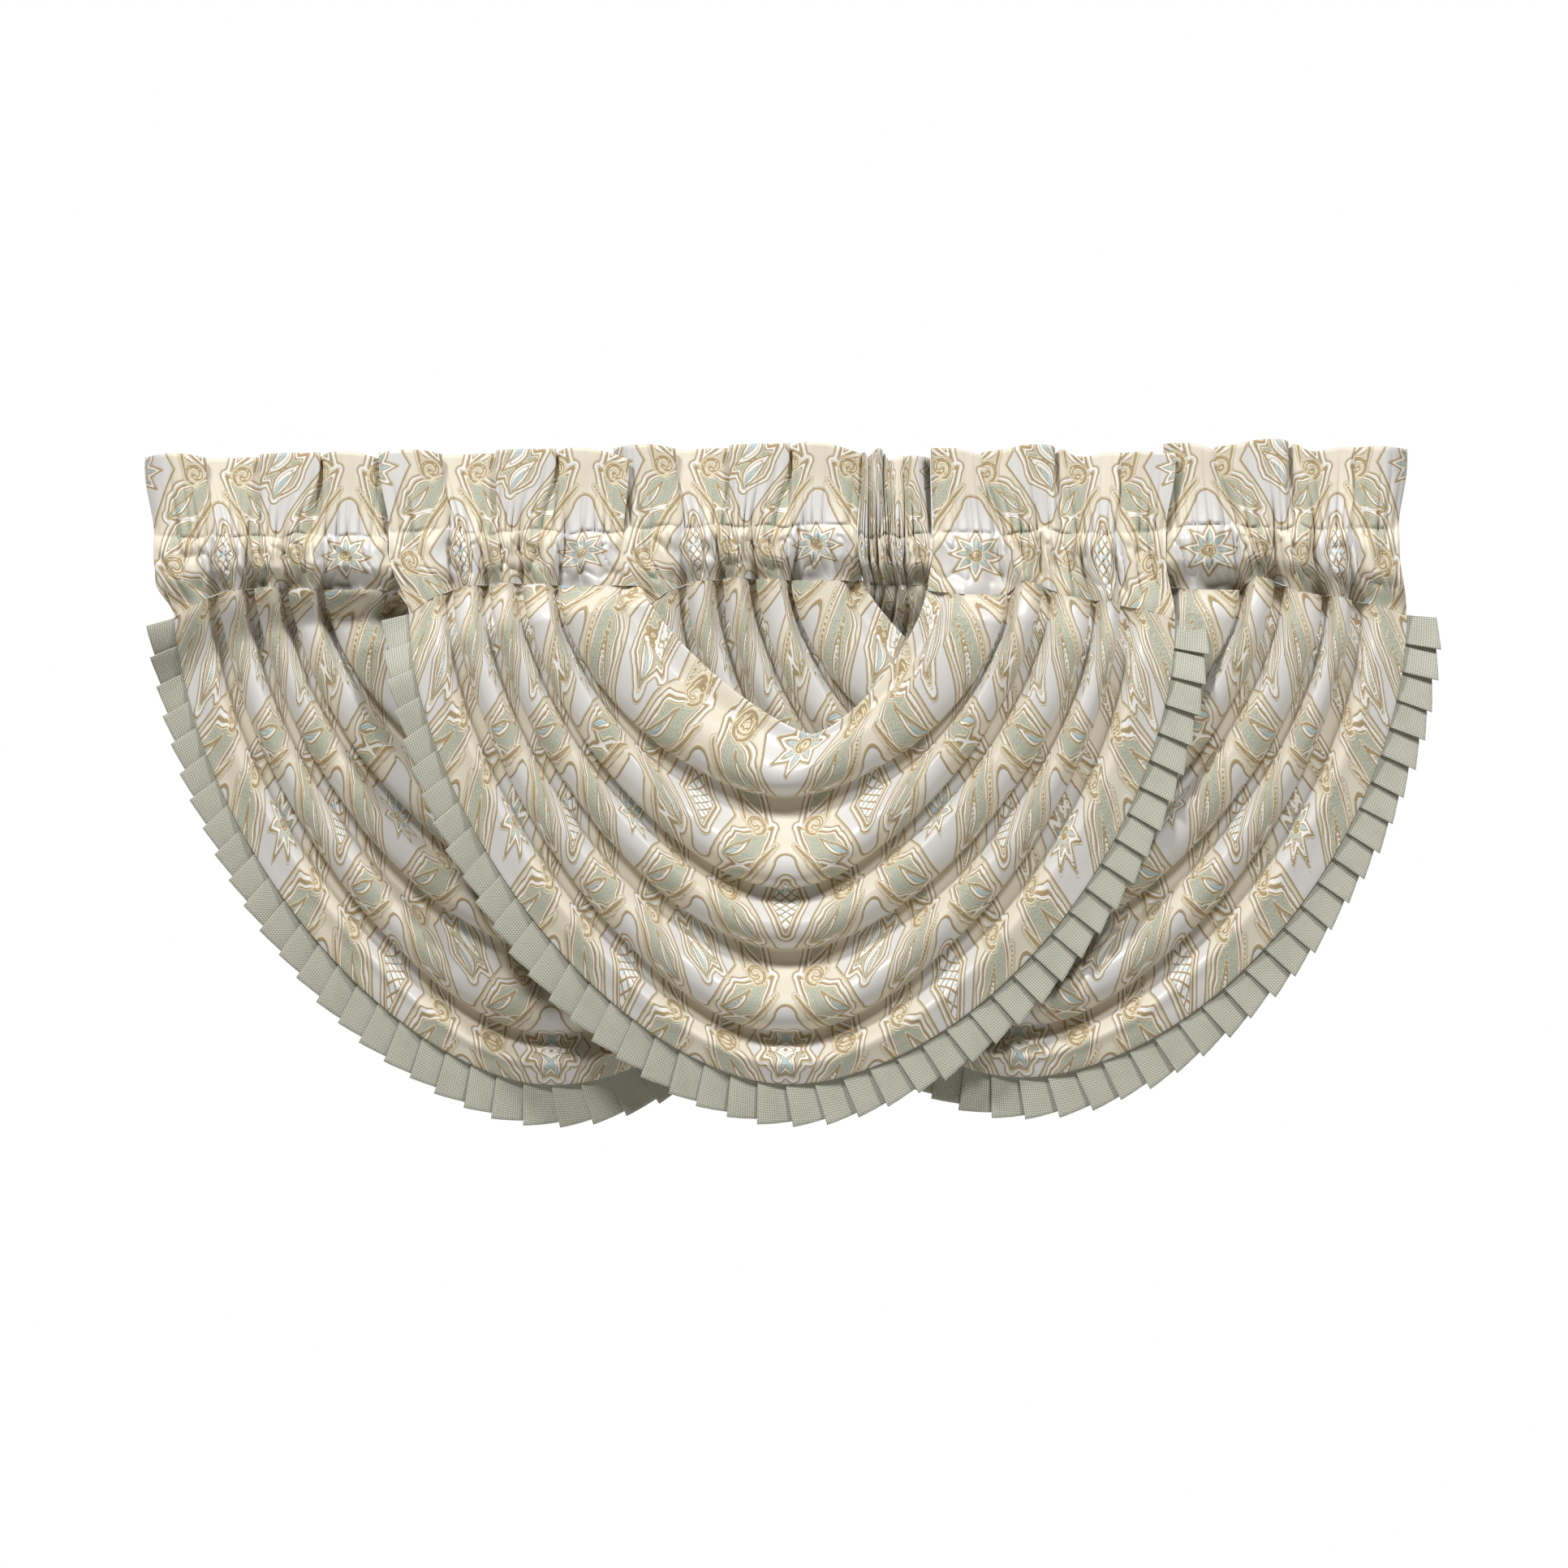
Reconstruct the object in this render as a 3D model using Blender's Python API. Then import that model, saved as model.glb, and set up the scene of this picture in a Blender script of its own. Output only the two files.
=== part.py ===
"""Three waterfall valances that share one curtain rod, as they hang.

Each valance is a swag body with a rolled neckline and four deep folds, two gathered
headings with a rod pocket, and a knife-pleated trim behind the curved hem.
Metres, +Z up. The front faces -Y. The origin is the middle of the top edge.
"""
import math
from collections import namedtuple

import bmesh
import bpy
import numpy as np

MM = 0.001

# Driving dimensions, in millimetres
ROD_DROP = 148.0            # top edge down to the rod's centre line
CLOTH = 2.0                 # thickness of the jacquard as it hangs
HEADER_CLOTH = 3.2          # the header's two layers, pressed together
GAP = 0.3                   # between pieces that are sewn to each other
POCKET_HALF_DEPTH = 17.0    # rod pocket, from the rod's centre line to its outer face
POCKET_TOP = 36.0           # gathering line above the rod's centre line
POCKET_ROUND = 24.0         # where the pocket is at its full depth, above and below the rod
POCKET_SHOULDER = 0.75      # its depth there, as a share of its full depth
POCKET_FOOT = 0.8           # its front wall's depth where it starts to close
SEAM_RISE = 9.0             # how far above its lower seam the pocket starts to close
LOWEST_CLOSING = -42.0      # but no lower than this, where the seam hangs down at an outer end
HEADER_LEAN = 0.25          # share of the header's depth that its gathering line already has

# Folds of the swag
FOLD_AT_SEAM = 5.0          # half depth of a fold where it leaves the heading
FOLD_AT_SIDE = 14.0         # half depth half way down a side
FOLD_AT_CENTRE = 16.0       # half depth at the bottom of the drape
ROUND_AT_SIDE = 0.45        # how far a fold's flanks bulge, 0 for a straight flank
ROUND_AT_CENTRE = 0.10
ROUND_STARTS = 0.2          # share of a fold's half length in which its flanks grow round
ROUND_ENDS = (0.55, 0.95)   # and between which they flatten towards the middle
STATIONS = 30               # steps along a fold, from seam to seam
FLANK_STEPS = 2             # steps from a crest to the next valley
LAYER_REACH = 0.10          # share of a fold's half length in which it reaches its layer

# Trim
PLEATS = 46
PLEAT_DEPTH = 4.0
TRIM_CLOTH = 1.4
TRIM_TUCK = 5.0             # how far the trim's seam lies behind the hem
TRIM_CLEAR = 0.9            # behind the hem, where the hem's cloth slants
PLEAT_JUMP = 0.12           # share of a pleat's pitch that its folded edge takes

# One row for each line that runs along the swag, from the neckline to the hem.
# x and z of its left and right start at the heading's seam, and its lowest point,
# from the rod's centre line and the valance's middle; bend 1 is a straight line,
# 2 an ellipse; depth is -1 for a crest and +1 for a valley.
Line = namedtuple("Line", "name left_x left_z right_x right_z low_x low_z left_bend right_bend depth")
LINES = (
    Line("neckline", -213, -36, 198, -45, 33, -232, 1.30, 1.42, 0.3),
    Line("roll", -248, -36, 231, -48, 0, -284, 1.48, 1.45, -1.0),
    Line("valley 1", -298, -36, 289, -48, 0, -312, 1.65, 1.68, 1.0),
    Line("crest 1", -315, -34, 311, -30, 0, -404, 1.50, 1.50, -1.0),
    Line("valley 2", -344, -34, 336, -36, 0, -432, 1.58, 1.55, 1.0),
    Line("crest 2", -368, -32, 366, -50, 0, -480, 1.54, 1.52, -1.0),
    Line("valley 3", -388, -34, 399, -55, 0, -512, 1.60, 1.60, 1.0),
    Line("crest 3", -413, -37, 419, -57, 0, -586, 1.56, 1.58, -1.0),
    Line("valley 4", -436, -40, 438, -62, 0, -621, 1.58, 1.62, 1.0),
    Line("edge panel", -461, -52, 472, -69, 0, -661, 1.62, 1.70, -0.6),
    Line("hem", -493, -73, 509, -81, 0, -687, 1.66, 1.78, 0.0),
)

# One row for each gather of a heading, above the line of the same place in LINES:
# x and height of the header's top, its depth (front is negative), x at the rod,
# and how far the pocket's front wall stands out.
Gather = namedtuple("Gather", "top_x top_z top_depth rod_x puff")
LEFT_HEADING = (
    Gather(-205, 128, -2, -222, 0),
    Gather(-248, 140, -13, -252, 8),
    Gather(-285, 144, -8, -292, -3),
    Gather(-299, 141, 4, -312, 5),
    Gather(-340, 142, -10, -346, -3),
    Gather(-380, 140, -2, -376, 4),
    Gather(-404, 137, 7, -400, -2),
    Gather(-429, 137, 8, -426, 3),
    Gather(-452, 136, 6, -452, -3),
    Gather(-500, 140, -10, -488, 4),
    Gather(-532, 139, 0, -519, 0),
)
RIGHT_HEADING = (
    Gather(190, 144, -2, 202, 0),
    Gather(231, 138, -12, 236, 5),
    Gather(268, 134, 5, 281, -2),
    Gather(295, 140, -8, 305, 4),
    Gather(327, 148, -11, 334, -3),
    Gather(353, 147, 2, 362, 4),
    Gather(377, 139, 8, 388, -2),
    Gather(406, 133, 7, 413, 3),
    Gather(449, 138, 3, 444, -3),
    Gather(479, 136, -10, 473, 4),
    Gather(510, 136, -2, 498, 0),
)

# One row for each step round the hem, from its left end to its right end:
# the trim's width and how far its pleats lean along the hem, in degrees.
Fringe = namedtuple("Fringe", "along width lean")
TRIM_SHAPE = (
    Fringe(0.00, 34, 14),
    Fringe(0.20, 45, 16),
    Fringe(0.32, 54, 15),
    Fringe(0.45, 54, 14),
    Fringe(0.60, 54, 6),
    Fringe(0.80, 48, -3),
    Fringe(1.00, 44, -6),
)

# One row for each valance: where its middle lies, how high it hangs, the depth of its
# layer, of its headings' lower seams and of its headers' ends, how far back its pocket
# still reaches above its seam (a share of the pocket's half depth), and whether its
# right heading is pushed together beside the next valance's.
Valance = namedtuple("Valance", "name middle_x lift layer left_seam right_seam end_depth low_back crowded")
VALANCES = (
    Valance("valance1", -309, -5, 42, 9, 9, 10, 0.65, True),
    Valance("valance2", 0, 0, -40, -9, -13, -16, 0.35, False),
    Valance("valance3", 306, 7, 6, 0, 9, 10, 0.65, False),
)
CROWDED_TOP = (411, 499)     # ends of the crowded heading at its top, at the rod and at its seam
CROWDED_ROD = (402, 503)
CROWDED_SEAM = (413, 503)
CROWDED_SEAM_Z = -30         # its seam is level
CROWDED_EVEN = 0.45          # share of even spacing in a crowded heading
CROWDED_FOLD = 0.2           # its folds are this much shallower at the seam
FOLD_OPENS = 0.35            # share of a fold's half length in which it opens to its full depth
CROWDED_OPENS = 0.6

JACQUARD = ((0.66, 0.57, 0.42, 1.0), 0.55)
SAGE = ((0.38, 0.41, 0.36, 1.0), 0.85)


def clear_scene():
    for item in list(bpy.data.objects):
        bpy.data.objects.remove(item, do_unlink=True)


def make_material(name, colour, roughness):
    material = bpy.data.materials.new(name)
    material.use_nodes = True
    shader = material.node_tree.nodes["Principled BSDF"]
    shader.inputs["Base Color"].default_value = colour
    shader.inputs["Roughness"].default_value = roughness
    shader.inputs["Metallic"].default_value = 0.0
    return material


def add_object(name, points, faces, material, collection):
    """Makes one mesh object from points in millimetres, with its faces turned outwards."""
    mesh = bpy.data.meshes.new(name)
    mesh.from_pydata([tuple(float(v) * MM for v in p) for p in points], [], faces)
    shape = bmesh.new()
    shape.from_mesh(mesh)
    bmesh.ops.recalc_face_normals(shape, faces=shape.faces)
    bmesh.ops.triangulate(shape, faces=shape.faces, quad_method="SHORT_EDGE")
    shape.to_mesh(mesh)
    shape.free()
    mesh.materials.append(material)
    item = bpy.data.objects.new(name, mesh)
    collection.objects.link(item)
    return item


def smooth_step(value):
    value = min(max(value, 0.0), 1.0)
    return value * value * (3.0 - 2.0 * value)


def crowd(x, ends, crowded_ends):
    """Moves x from a heading's normal span into the crowded one, packed at the inner side."""
    share = (x - ends[0]) / (ends[1] - ends[0])
    packed = CROWDED_EVEN * share + (1.0 - CROWDED_EVEN) * share ** 3
    return crowded_ends[0] + (crowded_ends[1] - crowded_ends[0]) * packed


def seam_starts(valance, side):
    """The points (x, z) where the lines of one side leave the heading."""
    if side == "left":
        return [(line.left_x, line.left_z) for line in LINES]
    starts = [(line.right_x, line.right_z) for line in LINES]
    if crowded_side(valance, side):
        ends = (starts[0][0], starts[-1][0])
        starts = [(crowd(x, ends, CROWDED_SEAM), CROWDED_SEAM_Z) for x, _ in starts]
    return starts


def crowded_side(valance, side):
    return valance.crowded and side == "right"


def fold_half_depth(valance, side, down):
    """Half depth of the folds, from the seam (down = 0) to the middle (down = 1)."""
    at_seam, opens = FOLD_AT_SEAM, FOLD_OPENS
    if crowded_side(valance, side):
        at_seam, opens = FOLD_AT_SEAM * CROWDED_FOLD, CROWDED_OPENS
    half = at_seam + (FOLD_AT_SIDE - at_seam) * smooth_step(down / opens)
    return half + (FOLD_AT_CENTRE - FOLD_AT_SIDE) * smooth_step((down - 0.5) / 0.5)


def swag_depth(valance, depth, down, side):
    """Depth of a point on a fold: depth is -1 at a crest and +1 at a valley."""
    seam = valance.left_seam if side == "left" else valance.right_seam
    middle = seam + (valance.layer - seam) * smooth_step(down / LAYER_REACH)
    return middle + fold_half_depth(valance, side, down) * depth


def seam_depths(valance, side):
    """The depth of each line where it leaves the heading."""
    return [swag_depth(valance, line.depth, 0.0, side) for line in LINES]


def half_line(start, low, bend, count):
    """Points from a line's start down to its lowest point, evenly spaced along it."""
    angle = np.linspace(0.0, math.pi / 2.0, 400)
    x = low[0] + (start[0] - low[0]) * np.cos(angle) ** (2.0 / bend)
    z = start[1] + (low[1] - start[1]) * np.sin(angle) ** (2.0 / bend)
    length = np.concatenate([[0.0], np.cumsum(np.hypot(np.diff(x), np.diff(z)))])
    even = np.linspace(0.0, length[-1], count)
    return np.column_stack([np.interp(even, length, x), np.interp(even, length, z)])


def swag_line(valance, index, stations):
    """One line across the whole swag: x and z at each station, left seam to right seam."""
    line = LINES[index]
    half = stations // 2 + 1
    low = (line.low_x, line.low_z)
    left = half_line(seam_starts(valance, "left")[index], low, line.left_bend, half)
    right = half_line(seam_starts(valance, "right")[index], low, line.right_bend, half)
    return np.vstack([left, right[-2::-1]])


def flank_round(down):
    """How round a fold's flanks are: straight at the seam, round at the sides, flat below."""
    rounded = ROUND_AT_SIDE * smooth_step(down / ROUND_STARTS)
    flattened = smooth_step((down - ROUND_ENDS[0]) / (ROUND_ENDS[1] - ROUND_ENDS[0]))
    return rounded + (ROUND_AT_CENTRE - ROUND_AT_SIDE) * flattened


def swag_grid(valance):
    """Points of the swag's middle surface: rows from neckline to hem, stations along them."""
    lines = [swag_line(valance, index, STATIONS) for index in range(len(LINES))]
    half = STATIONS // 2
    rows = []
    for index in range(len(LINES) - 1):
        last = index == len(LINES) - 2
        for step in range(FLANK_STEPS + (1 if last else 0)):
            share = step / FLANK_STEPS
            row = []
            for station in range(STATIONS + 1):
                down = 1.0 - abs(station - half) / half
                side = "left" if station < half else "right"
                x, z = (1.0 - share) * lines[index][station] + share * lines[index + 1][station]
                depth = (1.0 - share) * LINES[index].depth + share * LINES[index + 1].depth
                depth -= flank_round(down) * math.sin(math.pi * share)
                row.append((x, swag_depth(valance, depth, down, side), z))
            rows.append(row)
    return np.array(rows)


def grid_normals(grid):
    along = np.gradient(grid, axis=1)
    across = np.gradient(grid, axis=0)
    normal = np.cross(along, across)
    return normal / np.linalg.norm(normal, axis=2, keepdims=True)


def sheet_from_grid(grid, thickness, square_ends=False):
    """Closed sheet around a grid of middle points: the points and faces of its solid.

    With square_ends the sheet's first and last stations are cut square to Y, as its seams are.
    """
    offset = grid_normals(grid) * thickness / 2.0
    if square_ends:
        for end in (0, -1):
            offset[:, end] = np.sign(offset[:, end, 1:2]) * (0.0, thickness / 2.0, 0.0)
    rows, columns = grid.shape[:2]
    points = np.concatenate([(grid + offset).reshape(-1, 3), (grid - offset).reshape(-1, 3)])
    back = rows * columns
    faces = []
    for r in range(rows - 1):
        for c in range(columns - 1):
            quad = (r * columns + c, r * columns + c + 1, (r + 1) * columns + c + 1, (r + 1) * columns + c)
            faces.append(quad)
            faces.append(tuple(back + q for q in reversed(quad)))
    border = [c for c in range(columns)]
    border += [r * columns + columns - 1 for r in range(1, rows)]
    border += [(rows - 1) * columns + c for c in range(columns - 2, -1, -1)]
    border += [r * columns for r in range(rows - 2, 0, -1)]
    for here, after in zip(border, border[1:] + border[:1]):
        faces.append((here, back + here, back + after, after))
    return points, faces


def placed(points, valance):
    """Moves points from a valance's own middle and rod line to the shared frame."""
    return np.asarray(points) + (valance.middle_x, 0.0, valance.lift - ROD_DROP)


def build_swag(valance, material, collection):
    points, faces = sheet_from_grid(swag_grid(valance), CLOTH, square_ends=True)
    points[:, 2] -= GAP
    return add_object(valance.name + "_swag", placed(points, valance), faces, material, collection)


def trim_width_and_lean(along):
    places = [row.along for row in TRIM_SHAPE]
    width = np.interp(along, places, [row.width for row in TRIM_SHAPE])
    lean = np.interp(along, places, [row.lean for row in TRIM_SHAPE])
    return width, math.radians(lean)


def build_trim(valance, material, collection):
    """A saw-toothed strip behind the hem: each pleat's first edge lies over the one before."""
    fine = 20 * STATIONS
    hem = swag_line(valance, len(LINES) - 1, fine)
    tangent = np.gradient(hem, axis=0)
    tangent /= np.linalg.norm(tangent, axis=1, keepdims=True)
    outward = np.column_stack([tangent[:, 1], -tangent[:, 0]])
    hem_depths = swag_grid(valance)[-1, :, 1]
    inner, outer = [], []
    for pleat in range(PLEATS):
        for edge, rise in ((0.0, 0.0), (1.0 - PLEAT_JUMP, 1.0)):
            along = (pleat + edge) / (PLEATS - PLEAT_JUMP)
            place = along * fine
            index = min(int(place), fine - 1)
            share = place - index
            point = (1.0 - share) * hem[index] + share * hem[index + 1]
            side = (1.0 - share) * tangent[index] + share * tangent[index + 1]
            away = (1.0 - share) * outward[index] + share * outward[index + 1]
            width, lean = trim_width_and_lean(along)
            reach = away * math.cos(lean) + side * math.sin(lean)
            behind = np.interp(along, np.linspace(0.0, 1.0, STATIONS + 1), hem_depths)
            depth = behind + CLOTH / 2.0 + TRIM_CLEAR + TRIM_CLOTH / 2.0 + PLEAT_DEPTH * rise
            top = point - away * TRIM_TUCK
            low = point + reach * width
            inner.append((top[0], depth, top[1]))
            outer.append((low[0], depth, low[1]))
    points, faces = sheet_from_grid(np.array([inner, outer]), TRIM_CLOTH)
    return add_object(valance.name + "_trim", placed(points, valance), faces, material, collection)


def heading_columns(valance, side):
    """Each gather of a heading as (top_x, top_z, top_depth, rod_x, puff, seam_x, seam_z, depth)."""
    table = LEFT_HEADING if side == "left" else RIGHT_HEADING
    starts = seam_starts(valance, side)
    depths = seam_depths(valance, side)
    crowded = crowded_side(valance, side)
    top_ends = (table[0].top_x, table[-1].top_x)
    rod_ends = (table[0].rod_x, table[-1].rod_x)
    columns = []
    for index, gather in enumerate(table):
        top_x, rod_x, fold = gather.top_x, gather.rod_x, 1.0
        if crowded:
            top_x = crowd(top_x, top_ends, CROWDED_TOP)
            rod_x = crowd(rod_x, rod_ends, CROWDED_ROD)
            fold = CROWDED_FOLD
        at_end = index in (0, len(table) - 1)
        top_depth = valance.end_depth if at_end else gather.top_depth * fold
        columns.append((top_x, gather.top_z, top_depth, rod_x, gather.puff * fold,
                        starts[index][0], starts[index][1], depths[index]))
    return columns


def heading_section(column, low_back):
    """Outer and inner loop of a heading at one gather: header on top, pocket round the rod."""
    top_x, top_z, top_depth, rod_x, puff, seam_x, seam_z, seam_depth = column
    half = HEADER_CLOTH / 2.0
    front = -POCKET_HALF_DEPTH - puff
    back = POCKET_HALF_DEPTH
    low_z = max(min(seam_z + SEAM_RISE, 2.0 - POCKET_ROUND), LOWEST_CLOSING)
    low_x = 0.75 * rod_x + 0.25 * seam_x
    bottom_z = 0.6 * low_z + 0.4 * seam_z
    bottom_depth = max(min(seam_depth, back * low_back - CLOTH - 2.0), -back / 2.0)
    flare_x = (rod_x + top_x) / 2.0
    flare_z = (POCKET_TOP + top_z) / 2.0
    neck = top_depth * HEADER_LEAN
    flare = top_depth * (1.0 + HEADER_LEAN) / 2.0
    outer = [
        (seam_x, seam_depth - CLOTH / 2.0, seam_z),
        (low_x, front * POCKET_FOOT, low_z),
        (rod_x, front, 0.0),
        (rod_x, front * POCKET_SHOULDER, POCKET_ROUND),
        (rod_x, neck - half - 1.0, POCKET_TOP + 4.0),
        (flare_x, flare - half, flare_z),
        (top_x, top_depth - half, top_z),
        (top_x, top_depth + half, top_z),
        (flare_x, flare + half, flare_z),
        (rod_x, neck + half + 1.0, POCKET_TOP + 4.0),
        (rod_x, back * POCKET_SHOULDER, POCKET_ROUND),
        (rod_x, back, 0.0),
        (low_x, back * low_back, low_z),
        (seam_x, seam_depth + CLOTH / 2.0, seam_z),
    ]
    inner = [
        ((low_x + seam_x) / 2.0, bottom_depth, bottom_z),
        (low_x, front * POCKET_FOOT + CLOTH, low_z + 1.0),
        (rod_x, front + CLOTH, 0.0),
        (rod_x, front * POCKET_SHOULDER + CLOTH, POCKET_ROUND - 1.0),
        (rod_x, neck, POCKET_TOP),
        (rod_x, back * POCKET_SHOULDER - CLOTH, POCKET_ROUND - 1.0),
        (rod_x, back - CLOTH, 0.0),
        (low_x, back * low_back - CLOTH, low_z + 1.0),
    ]
    return outer, inner


# Which inner point each outer point faces, round the heading's open ends
FACING = (0, 1, 2, 3, 4, 4, 4, 4, 4, 4, 5, 6, 7, 0)


def build_heading(valance, side, material, collection):
    """Loft through the gathers' sections, open from end to end for the rod."""
    sections = [heading_section(column, valance.low_back) for column in heading_columns(valance, side)]
    outer_count, inner_count = len(sections[0][0]), len(sections[0][1])
    step = outer_count + inner_count
    points, faces = [], []
    for outer, inner in sections:
        points += outer + inner
    for section in range(len(sections) - 1):
        here, after = section * step, (section + 1) * step
        for count, base in ((outer_count, 0), (inner_count, outer_count)):
            for k in range(count):
                n = (k + 1) % count
                faces.append((here + base + k, here + base + n, after + base + n, after + base + k))
    for end in (0, (len(sections) - 1) * step):
        for k in range(outer_count):
            n = (k + 1) % outer_count
            a, b = FACING[k], FACING[n]
            cap = [end + k, end + n, end + outer_count + b]
            if a != b:
                cap.append(end + outer_count + a)
            faces.append(tuple(cap))
    name = valance.name + "_heading_" + side
    return add_object(name, placed(points, valance), faces, material, collection)


def build_all():
    clear_scene()
    collection = bpy.data.collections.new("waterfall_valance")
    bpy.context.scene.collection.children.link(collection)
    jacquard = make_material("jacquard", *JACQUARD)
    sage = make_material("sage_trim", *SAGE)
    for valance in VALANCES:
        build_swag(valance, jacquard, collection)
        build_trim(valance, sage, collection)
        for side in ("left", "right"):
            build_heading(valance, side, jacquard, collection)


build_all()
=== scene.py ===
"""Dresses three waterfall valances on one rod: draped jacquard, gathered headings, pleated trim.

Lengths in the tables are millimetres, measured from the rod's centre line and from
each valance's own middle. The front faces -Y.
"""
import math
from collections import namedtuple

import bpy
import numpy as np
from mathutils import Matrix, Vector


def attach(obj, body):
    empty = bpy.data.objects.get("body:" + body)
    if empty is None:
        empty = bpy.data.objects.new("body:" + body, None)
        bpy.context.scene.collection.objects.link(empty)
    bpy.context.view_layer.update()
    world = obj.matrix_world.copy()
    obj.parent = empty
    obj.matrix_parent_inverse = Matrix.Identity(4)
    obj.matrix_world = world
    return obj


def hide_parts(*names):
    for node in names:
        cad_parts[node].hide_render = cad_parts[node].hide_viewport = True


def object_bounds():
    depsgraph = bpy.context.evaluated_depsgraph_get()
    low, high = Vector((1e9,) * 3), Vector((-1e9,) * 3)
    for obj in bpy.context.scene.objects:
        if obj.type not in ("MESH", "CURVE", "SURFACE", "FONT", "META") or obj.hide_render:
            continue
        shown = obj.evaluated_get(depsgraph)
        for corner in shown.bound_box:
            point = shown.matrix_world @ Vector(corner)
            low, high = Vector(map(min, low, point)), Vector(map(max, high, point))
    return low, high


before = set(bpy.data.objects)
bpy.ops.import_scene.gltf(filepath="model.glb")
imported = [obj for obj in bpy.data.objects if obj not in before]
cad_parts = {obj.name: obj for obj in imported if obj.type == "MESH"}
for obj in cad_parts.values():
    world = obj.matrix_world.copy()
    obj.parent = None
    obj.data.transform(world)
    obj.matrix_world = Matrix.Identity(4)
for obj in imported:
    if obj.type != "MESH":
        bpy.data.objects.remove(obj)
CAD_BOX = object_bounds()
MM = 0.001
SEED = 11

ROD_DROP = 148.0          # the rod's centre line below the top edge, as in the frame
# Half depths of the swag's folds, which are deeper than the frame's
FOLD_AT_SEAM = 17.0
FOLD_AT_SIDE = 21.0
FOLD_AT_CENTRE = 21.0
FOLD_OPENS = 0.24         # share of a line's half length in which the folds reach their side depth
LAYER_REACH = 0.10        # share in which the swag leaves its seam's depth for its layer's
POCKET_HALF_DEPTH = 17.0
PLEATS = 46               # in one trim

# One row for each line along the swag: its left and right start at the headings, its
# lowest point, how round each half is, and its depth as a share of the folds' half
# depth (a crest is -1, in front).
Line = namedtuple("Line", "name left_x left_z right_x right_z low_x low_z left_bend right_bend depth")
LINES = (
    Line("neckline", -190, -36, 186, -43, 33, -232, 1.30, 1.42, 0.3),
    Line("roll", -248, -36, 231, -48, 0, -284, 1.48, 1.45, -1.0),
    Line("valley 1", -298, -36, 289, -48, 0, -312, 1.65, 1.68, 1.0),
    Line("crest 1", -315, -34, 311, -30, 0, -404, 1.50, 1.50, -1.0),
    Line("valley 2", -344, -34, 336, -36, 0, -432, 1.58, 1.55, 1.0),
    Line("crest 2", -368, -32, 366, -50, 0, -480, 1.54, 1.52, -1.0),
    Line("valley 3", -388, -34, 399, -55, 0, -512, 1.60, 1.60, 1.0),
    Line("crest 3", -413, -37, 419, -57, 0, -586, 1.56, 1.58, -1.0),
    Line("valley 4", -436, -40, 438, -62, 0, -621, 1.58, 1.62, 1.0),
    Line("edge panel", -461, -52, 472, -69, 0, -661, 1.62, 1.70, -0.6),
    Line("hem", -493, -73, 509, -81, 0, -687, 1.66, 1.78, 0.0),
)

# Share of each line's length over which its low middle is rounded
LOW_IS_SOFT = (0.010, 0.014, 0.03, 0.032, 0.035, 0.04, 0.04, 0.04, 0.035, 0.025, 0.02)

# One row for each valance: where its middle lies, how high it hangs, the depth of its
# layer, of its headings' lower seams and of its headers' ends, and whether its right
# heading is pushed together beside the next valance's.
Valance = namedtuple("Valance", "name middle_x lift layer left_seam right_seam end_depth crowded")
VALANCES = (
    Valance("valance1", -309, -5, 46, 9, 9, 10, True),
    Valance("valance2", 0, 0, -44, -12, -25, -16, False),
    Valance("valance3", 306, 7, 1, 0, 11, 10, False),
)
NECK_LEFT = {"valance3": -206}    # its neckline starts here, beside the crowded heading
# The crowded heading's ends at its top, at the rod and at its seam, which is level
CROWDED_TOP = (409, 499)
CROWDED_ROD = (404, 501)
CROWDED_SEAM = (412, 502)
CROWDED_SEAM_Z = -30
CROWDED_EVEN = 0.45       # share of even spacing in it
CROWDED_FOLD = 0.2        # its folds at the seam, as a share of the others'
CROWDED_OPENS = 0.6       # as FOLD_OPENS

# Fineness of the cloth
STATIONS = 440
ROWS_BETWEEN = (16, 18, 34, 16, 20, 18, 26, 18, 16, 9)   # steps between neighbouring lines
# Where the lines lie in the design, down the middle of the cloth
DESIGN_ROWS = (0.0, 42.0, 93.0, 186.0, 231.0, 285.0, 340.0, 412.0, 467.0, 511.0, 535.0)
FACING = 18.0             # cloth turned back behind the neckline
NECK_TURN = 2.6           # radius of the neckline's turned edge
HEM_TURN = 0.9
HEM_RETURN = 7.0
UNDERCUT = 34.0           # degrees that a fold's underside turns in past the vertical
VALLEY_FLOOR = 0.50       # share of the way to the next crest that stays at a valley's depth


def smooth(value):
    value = np.clip(value, 0.0, 1.0)
    return value * value * (3.0 - 2.0 * value)


def mix(a, b, share):
    return a + (b - a) * share


class Noise:
    """Smooth value noise over a plane, the same on every run."""

    def __init__(self, seed, size=64):
        self.grid = np.random.default_rng(seed).uniform(-1.0, 1.0, (size, size))
        self.size = size

    def at(self, x, y):
        x, y = np.broadcast_arrays(np.asarray(x, float), np.asarray(y, float))
        fx, fy = np.floor(x), np.floor(y)
        sx, sy = smooth(x - fx), smooth(y - fy)
        ix, iy = fx.astype(int) % self.size, fy.astype(int) % self.size
        jx, jy = (ix + 1) % self.size, (iy + 1) % self.size
        low = mix(self.grid[ix, iy], self.grid[jx, iy], sx)
        high = mix(self.grid[ix, jy], self.grid[jx, jy], sx)
        return mix(low, high, sy)


# The drape

def crowd(x, ends, crowded_ends):
    share = (x - ends[0]) / (ends[1] - ends[0])
    packed = CROWDED_EVEN * share + (1.0 - CROWDED_EVEN) * share ** 3
    return crowded_ends[0] + (crowded_ends[1] - crowded_ends[0]) * packed


def crowded_side(valance, side):
    return valance.crowded and side == "right"


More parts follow.
